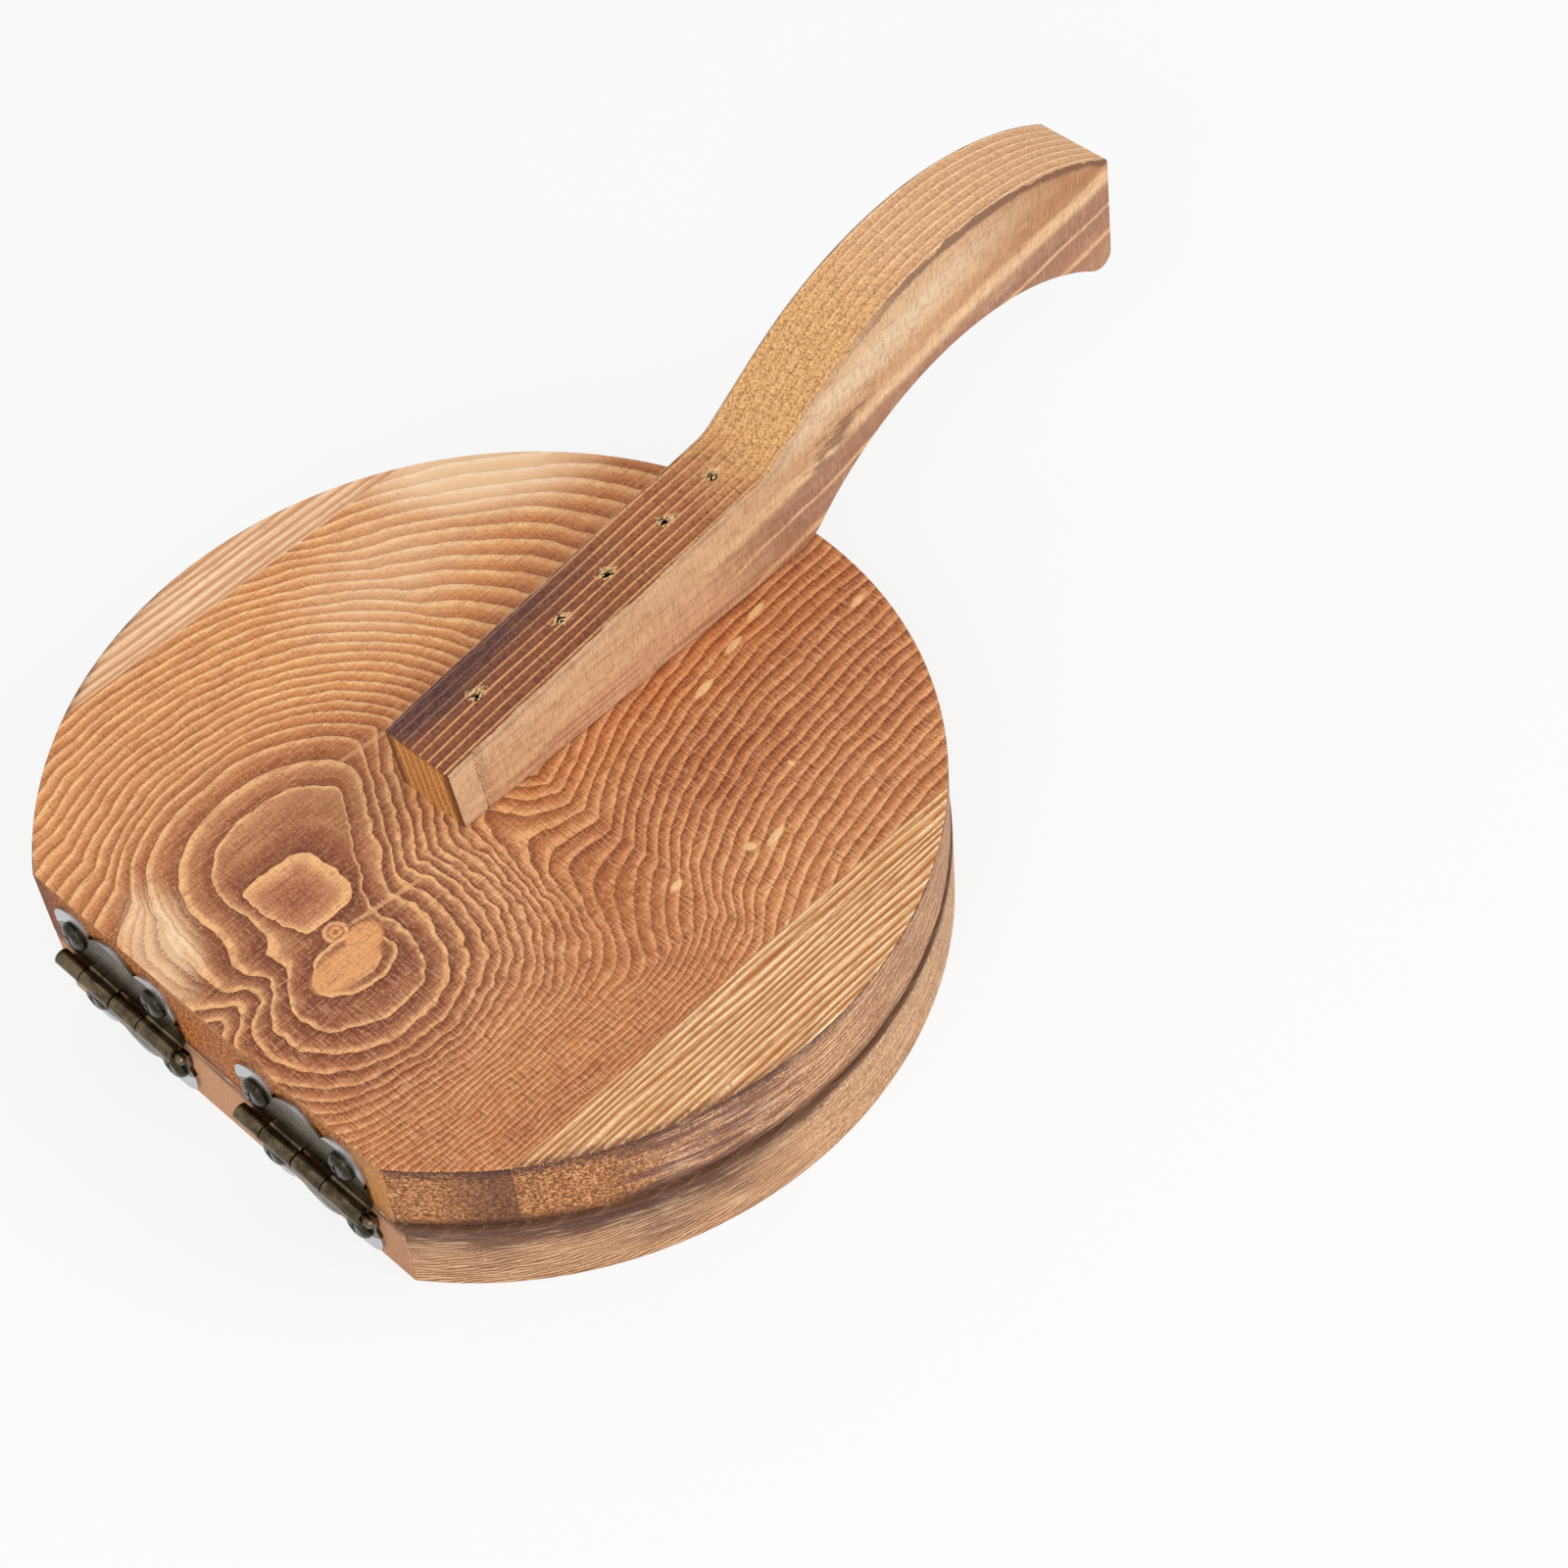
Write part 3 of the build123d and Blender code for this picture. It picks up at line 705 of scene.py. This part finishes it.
def handle_wood():
    """The handle: burnt stripes on top near the board, golden beyond, blond sides."""
    wood = Finish("torched_handle", 0.6)
    across = across_handle(wood)
    along = wood.y
    height = wood.z - TOP_Z
    below = handle_top(along) - height
    drift = wood.noise((16.0, 50.0, 20.0), 1.0, 0.5, 4.0)
    fibre = wood.noise((0.3, 6.0, 0.6), 3.0, 0.65, 9.0)
    dash = wood.noise((1.6, 0.4, 1.6), 3.0, 0.7, 13.0)
    dots = wood.noise((0.42, 0.5, 0.42), 2.0, 0.7, 17.0)
    cloud = wood.noise((5.0, 14.0, 6.0), 3.0, 0.6, 23.0)
    wave = wood.noise((3.0, 6.0, 3.0), 3.0, 0.6, 27.0)
    golden = (along + (cloud - 0.5) * 14.0).step(-50.0, -70.0)
    far = along.step(-84.0, -108.0)
    dark_half = (across + (cloud - 0.5) * 5.0).step(-0.5, 4.5) * along.step(-46.0, -8.0)

    # The top, with growth lines that run along the handle
    place = ((across + (drift - 0.5) * 1.8) / HANDLE_LINES).part()
    line = abs(place - 0.5).step(0.17, 0.04)
    shadow = abs(place - 0.76).step(0.16, 0.04)
    line_tone = wood.coats(
        shade(236, 176, 118),
        (shade(136, 92, 80), dark_half),
        (shade(254, 216, 172), along.step(-60.0, -110.0)),
    )
    line_strength = (0.9 - 0.35 * golden + 0.45 * far) * (0.7 + 0.3 * cloud.step(0.35, 0.6))
    top = wood.coats(
        shade(146, 84, 58),
        (shade(178, 110, 70), along.step(-24.0, -50.0)),
        (shade(88, 60, 58), dark_half),
        (shade(46, 26, 22), dots.step(0.5, 0.6) * 0.5),
        (shade(150, 104, 84), dots.step(0.44, 0.34) * 0.4),
        (wood.mix(shade(232, 178, 120), shade(224, 172, 128), far), golden),
        (shade(104, 56, 44), shadow * (0.5 - 0.3 * golden)),
        (line_tone, line * line_strength),
        (shade(84, 48, 40), dash.step(0.54, 0.68) * (0.55 - 0.4 * golden)),
        (shade(150, 92, 46), dots.step(0.5, 0.62) * golden * (0.72 - 0.42 * far)),
        (shade(252, 208, 152), dots.step(0.46, 0.34) * golden * 0.62),
        (shade(176, 120, 76), fibre.step(0.5, 0.66) * 0.3),
    )
    for brad_y, side_x in BRADS:
        top = torn_mark(wood, top, across, brad_y, side_x, dots)
    edge_line = (abs(across) + (dots - 0.5) * 0.8).step(7.0, 7.5)
    top = wood.mix(top, shade(90, 56, 44), edge_line * (0.55 - 0.3 * golden))

    # The sides, the near end and the underside
    side = side_colour(wood, along, height, below, fibre, cloud, dots)
    side_on = (abs(across) > HANDLE_HALF).most((abs(across) + (wave - 0.5) * 1.6) > HANDLE_HALF - 0.3)
    end = wood.coats(
        shade(224, 158, 92),
        (shade(150, 84, 30), fibre.step(0.4, 0.58) * 0.8),
        (shade(136, 76, 30), shadow * 0.5),
        (shade(244, 190, 120), (line * 0.75).most(dots.step(0.46, 0.36) * 0.65)),
        (shade(92, 50, 36), (abs(across) + (dots - 0.5) * 1.5).step(5.2, 6.8) * 0.85),
        (shade(120, 70, 40), below.step(1.2, 0.2) * 0.6),
    )
    end_on = (along - height * 0.084 > 9.2) * (below > 0.15) * (abs(across) < HANDLE_HALF - 0.05)
    under = wood.mix(shade(202, 152, 110), shade(232, 188, 142), line * 0.7)
    under_on = (below > 1.6) * (abs(across) < HANDLE_HALF - 0.3) * (along < 8.0)
    wood.colour(wood.coats(top, (side, side_on), (end, end_on), (under, under_on)))
    wood.relief(line * 0.5 - dash.step(0.5, 0.7) * 0.4 + fibre * 0.3 + dots * 0.5 * golden, 0.2)
    return wood


def torn_mark(wood, colour, across, brad_y, side_x, dots):
    """Pale torn wood beside a brad, with painted shade for the hole in its middle."""
    from_x = across - side_x + (dots - 0.5) * 5.0
    from_y = (wood.y - brad_y + 0.4 + (dots - 0.5) * 6.0) / 1.5
    torn = reach(from_x, from_y)
    # Painted shade: a dark ring round the brad stands for the shade inside its hole
    painted_hole_shade = reach(across, wood.y - brad_y)
    return wood.coats(
        colour,
        (shade(226, 188, 138), torn.step(1.1, 0.8) * 0.85),
        (shade(62, 38, 28), painted_hole_shade.step(1.1, 0.92) * 0.9),
    )


def side_colour(wood, along, height, below, fibre, cloud, dots):
    """A sawn side of the handle: blond, with bands that rise slowly to the tip."""
    wander = wood.noise((40.0, 40.0, 40.0), 2.0, 0.5, 33.0)
    streak = wood.noise((3.0, 30.0, 0.9), 3.0, 0.6, 37.0)
    saw = wood.noise((3.0, 0.35, 3.0), 2.0, 0.6, 39.0)
    scratch = wood.noise((2.0, 9.0, 0.3), 2.0, 0.6, 51.0)
    worn = wood.noise((6.0, 3.0, 2.0), 3.0, 0.7, 53.0)
    sooty = wood.noise((3.0, 7.0, 1.6), 3.0, 0.65, 57.0)
    level = height + 0.18 * (along - 9.4) + (wander - 0.5) * 5.0 + (fibre - 0.5) * 0.8
    bands = wood.ramp((level + 18.0) / 36.0, SIDE_BANDS)
    toward_tip = along.step(-100.0, -142.0) * level.step(4.0, 5.5)
    blond = wood.coats(
        shade(230, 182, 140),
        (shade(228, 186, 144), (level + 1.0).between(0.0, 4.0)),
        (shade(164, 110, 72), streak.step(0.5, 0.64) * (0.75 - 0.4 * level.step(-2.0, 3.0))),
    )
    # The fresh block at the handle's near end, behind a fine slanted scratch
    cut = along - 4.2 - height * 0.075
    behind_cut = cut.step(-3.4, -0.4) * (cut < 0.0) * dots.step(0.4, 0.6)
    cut_seen = abs(cut).step(0.25, 0.08) * height.step(15.0, 8.0) * cloud.step(0.35, 0.55)
    # Smudges where the neck turns up
    smudge = reach((along + 80.0) / 13.0, (height - 21.0 + (along + 80.0) * 0.5) / 6.0).step(1.0, 0.4)
    # Burnt colour from the top creeps over the edge
    creep = (below + (cloud - 0.5) * 3.4 + (dots - 0.5) * 1.2).step(1.7, 0.5)
    creep = creep * (0.35 + 0.55 * along.step(-84.0, -100.0))
    # The side is darker along its foot, where it meets the board
    root = height.step(1.0, 0.0) * along.step(-75.0, -70.0)
    return wood.coats(
        bands,
        (shade(178, 120, 78), toward_tip * 0.9),
        (blond, along.step(-70.0, -46.0) * 0.8),
        (shade(160, 108, 74), saw.step(0.52, 0.68) * 0.34),
        (shade(248, 212, 170), saw.step(0.46, 0.32) * 0.2),
        (shade(176, 124, 88), fibre.step(0.52, 0.68) * 0.25),
        (shade(226, 188, 150), cloud.step(0.5, 0.7) * 0.25),
        (shade(122, 86, 62), scratch.step(0.64, 0.7) * 0.5),
        (shade(170, 116, 80), worn.step(0.52, 0.66) * 0.3),
        (shade(150, 110, 80), behind_cut * 0.7),
        (shade(232, 200, 162), cut.step(0.0, 0.1) * 0.3),
        (shade(104, 72, 54), cut_seen * 0.7),
        (shade(142, 106, 82), smudge * sooty.step(0.4, 0.58) * 0.85),
        (shade(110, 76, 62), creep * 0.85),
        (shade(96, 56, 40), root * 0.55),
    )


def metal(name, tone, light, painted_tip_reflection=False):
    """Aged metal: mottled, with bright rubbed spots and fine scratches."""
    finish = Finish(name)
    finish.shader.inputs["Metallic"].default_value = 1.0
    finish.shader.inputs["Specular IOR Level"].default_value = 0.5
    patina = finish.noise((3.0, 3.0, 3.0), 4.0, 0.6, 2.0)
    speck = finish.noise((0.25, 0.25, 0.25), 3.0, 0.7, 4.0)
    scratch = finish.noise((4.0, 0.15, 0.15), 2.0, 0.6, 8.0)
    colour = finish.coats(
        tone,
        (shade(44, 38, 30), patina.step(0.38, 0.64) * 0.75),
        (light, speck.step(0.6, 0.74) * 0.7),
        (light, scratch.step(0.62, 0.74) * 0.4),
    )
    # Painted reflection: the leaves' tips and top edges are coloured light grey, as if they mirrored the
    # white surroundings
    if painted_tip_reflection:
        colour = finish.mix(colour, shade(196, 197, 201), painted_leaf_tip_reflection(finish) * 0.9)
    finish.colour(colour)
    finish.roughness(0.16 + 0.2 * patina + 0.25 * speck.step(0.55, 0.7))
    finish.relief(speck * 0.4 + patina * 0.6, 0.04)
    return finish


def painted_leaf_tip_reflection(finish):
    """1 on the outer tips of the leaves and along their top edge, where a reflection of the white
    surroundings is painted.
    """
    across = abs(abs(finish.x) - HINGE_X)
    level = abs(finish.z - PIN_Z)
    crest = (level - 12.6).between(0.0, 1.2) * (across < HINGE_TONGUE_X) * 0.6
    lobe = across - HINGE_LOBE_X
    corner = level + lobe * 0.3 - 11.9 + (abs(lobe + 0.6) - 0.6) * 0.5
    corner = corner.step(0.0, 0.12) * (across > HINGE_TONGUE_X)
    return crest.most(corner) * (finish.y < FLAT_Y + 0.9)


def scatter(count, step):
    """A number from 0 to 1 that jumps about as count goes up."""
    return (count * step) % 1.0


def sliver(made, foot, turn, tilt, length, width):
    """A pointed flat sliver of wood that starts at foot and leans up by tilt."""
    lean = Matrix.Rotation(turn, 4, "Z") @ Matrix.Rotation(math.pi / 2 - tilt, 4, "Y")
    middle = Matrix.Translation((0.0, 0.0, length * MM / 2))
    flat = Matrix.Diagonal((0.5, 1.0, 1.0, 1.0))
    bmesh.ops.create_cone(
        made,
        cap_ends=True,
        segments=5,
        radius1=width * MM / 2,
        radius2=width * MM * 0.1,
        depth=length * MM,
        matrix=Matrix.Translation(Vector(foot) * MM) @ lean @ middle @ flat,
    )


def finished_object(name, made, finish):
    """Turns a bmesh into an object at the origin, with one finish."""
    mesh = bpy.data.meshes.new(name)
    made.to_mesh(mesh)
    made.free()
    mesh.materials.append(finish.material)
    piece = bpy.data.objects.new(name, mesh)
    bpy.context.scene.collection.objects.link(piece)
    return piece


def add_slivers(name, slivers, finish):
    """Makes one piece of many slivers, each given as foot, turn, tilt, length and width."""
    made = bmesh.new()
    for foot, turn, tilt, length, width in slivers:
        sliver(made, foot, math.radians(turn), math.radians(tilt), length, width)
    bmesh.ops.recalc_face_normals(made, faces=made.faces)
    piece = finished_object(name, made, finish)
    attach(piece, "lid")


def torn_wood():
    """Slivers of pale wood round the brads, on the top face and at the glue line's corner."""
    finish = Finish("torn_wood", 0.75)
    grain = finish.noise((0.2, 0.7, 0.3), 2.0, 0.6, 3.0)
    finish.colour(finish.mix(shade(214, 164, 108), shade(246, 212, 164), grain.step(0.35, 0.6)))
    finish.relief(grain, 0.05)
    round_brads = []
    for brad_y, side_x in BRADS:
        brad_x = HANDLE_X - brad_y * math.tan(HANDLE_TURN)
        top = TOP_Z + near_top(brad_y)
        for count in range(9):
            turn = math.radians(count * 137.5 + brad_y * 9.0)
            out = 0.75 + 0.35 * scatter(count, 0.618)
            foot_x = brad_x + side_x * 0.4 + out * math.cos(turn)
            foot_y = brad_y + 1.25 * out * math.sin(turn)
            aim = (-90.0 if foot_y > brad_y else 90.0) + 90.0 * scatter(count, 0.37) - 45.0
            tilt = 6.0 + 16.0 * scatter(count, 0.53)
            length = 0.5 + 0.7 * scatter(count, 0.29)
            round_brads.append(((foot_x, foot_y, top - 0.1), aim, tilt, length, 0.42))
    add_slivers("torn_wood_at_brads", round_brads, finish)
    on_board = []
    for number, (x, y, _, tall) in enumerate(FLECKS):
        for count in range(3):
            foot = (x + 0.3 * count - 0.3, y - tall * 0.3 + 0.4 * count, TOP_Z - 0.1)
            aim = 80.0 + 14.0 * count + 5.0 * number
            on_board.append((foot, aim, 5.0 + 4.0 * count, 0.7 + 0.35 * tall, 0.3))
    for count in range(16):
        x = -60.6 + 5.2 * scatter(count, 0.618)
        y = math.sqrt((PLATE_RADIUS - 0.3) ** 2 - x * x)
        aim = 120.0 + 50.0 * scatter(count, 0.37)
        tilt = 10.0 + 25.0 * scatter(count, 0.53)
        length = 0.6 + 0.7 * scatter(count, 0.29)
        on_board.append(((x + 0.25, y - 0.35, TOP_Z - 0.35), aim, tilt, length, 0.3))
    add_slivers("torn_wood_on_board", on_board, finish)


def lamp(name, place, power):
    """A square lamp aimed at the object."""
    data = bpy.data.lights.new(name, "AREA")
    data.shape = "SQUARE"
    data.size = LAMP_SIZE
    data.energy = power
    light = bpy.data.objects.new(name, data)
    bpy.context.scene.collection.objects.link(light)
    light.location = place
    light.rotation_euler = (Vector(LAMP_TARGET) - Vector(place)).to_track_quat("-Z", "Y").to_euler()


def floor_paper():
    """Light paper that goes over into the white background."""
    paper = Finish("floor_paper", 0.9)
    paper.shader.inputs["Base Color"].default_value = shade(235, 235, 235)
    lit = Reading(paper, paper.shader.outputs["BSDF"])
    white = paper.node("ShaderNodeEmission", {}, {"Color": WHITE, "Strength": 1.0})
    amount = paper.background_rays() * FLOOR_WHITE
    surface = paper.node("ShaderNodeMixShader", {}, {0: amount, 1: lit, 2: white})
    paper.tree.links.new(surface.socket, paper.tree.nodes["Material Output"].inputs["Surface"])
    return paper


def stand_and_light():
    """Pale floor, white surroundings and soft lamps."""
    made = bmesh.new()
    just_below = Matrix.Translation((0.0, 0.0, -0.05 * MM))
    bmesh.ops.create_grid(made, x_segments=1, y_segments=1, size=3.0, matrix=just_below)
    finished_object("floor", made, floor_paper())

    world = bpy.data.worlds.new("studio")
    world.use_nodes = True
    bpy.context.scene.world = world
    room = Graph(world.node_tree)
    glow = room.tree.nodes["Background"]
    glow.inputs["Color"].default_value = WHITE
    strength = ROOM_LIGHT + (1.0 - ROOM_LIGHT) * room.background_rays()
    room.tree.links.new(strength.socket, glow.inputs["Strength"])

    lamp("key_softbox", (-0.7, 0.9, 1.1), 11.0)
    lamp("fill_softbox", (-0.9, -0.7, 0.8), 6.0)


def look_from_photograph():
    """Puts the camera where the photograph was taken from."""
    azimuth, rise = CAMERA_AZIMUTH, CAMERA_ELEVATION
    back = Vector((math.sin(azimuth) * math.cos(rise), -math.cos(azimuth) * math.cos(rise), math.sin(rise)))
    level = Vector((math.cos(azimuth), math.sin(azimuth), 0.0))
    tall = back.cross(level)
    right = math.cos(CAMERA_ROLL) * level + math.sin(CAMERA_ROLL) * tall
    up = math.cos(CAMERA_ROLL) * tall - math.sin(CAMERA_ROLL) * level
    to_right, to_up, to_back = ORIGIN_FROM_CAMERA
    place = -(right * to_right + up * to_up + back * to_back)
    data = bpy.data.cameras.new("camera")
    data.sensor_width = 36.0
    data.lens = CAMERA_LENS
    data.clip_start = 0.01
    camera = bpy.data.objects.new("camera", data)
    bpy.context.scene.collection.objects.link(camera)
    camera.matrix_world = Matrix.Translation(place) @ Matrix((right, up, back)).transposed().to_4x4()
    bpy.context.scene.camera = camera


middle_board().put_on("upper_board_middle")
left_tones = (shade(216, 156, 100), shade(152, 86, 44), shade(254, 216, 172))
side_board("torched_strip_left", 1.2, 1.0, left_tones).put_on("upper_board_left")
right_tones = (shade(232, 182, 138), shade(194, 132, 90), shade(250, 214, 176))
side_board("torched_strip_right", 1.9, 2.0, right_tones).put_on("upper_board_right")
lower_board().put_on("lower_plate")
handle_wood().put_on("handle")

bronze = metal("antique_bronze", shade(108, 95, 74), shade(182, 158, 118), painted_tip_reflection=True)
steel = metal("worn_pin", shade(120, 106, 84), shade(214, 204, 184))
screw = metal("dark_screw", shade(62, 56, 48), shade(190, 180, 160))
rust = metal("rusted_brad", shade(66, 50, 40), shade(96, 76, 60))
for side in ("right", "left"):
    bronze.put_on(f"{side}_hinge_lower_leaf", f"{side}_hinge_upper_leaf")
    steel.put_on(f"{side}_hinge_pin")
    for board in ("upper", "lower"):
        screw.put_on(f"{side}_hinge_{board}_screw_1", f"{side}_hinge_{board}_screw_2")
for number in range(1, 6):
    rust.put_on(f"handle_brad_{number}")

torn_wood()
stand_and_light()
look_from_photograph()
bpy.context.scene.view_settings.view_transform = "Standard"
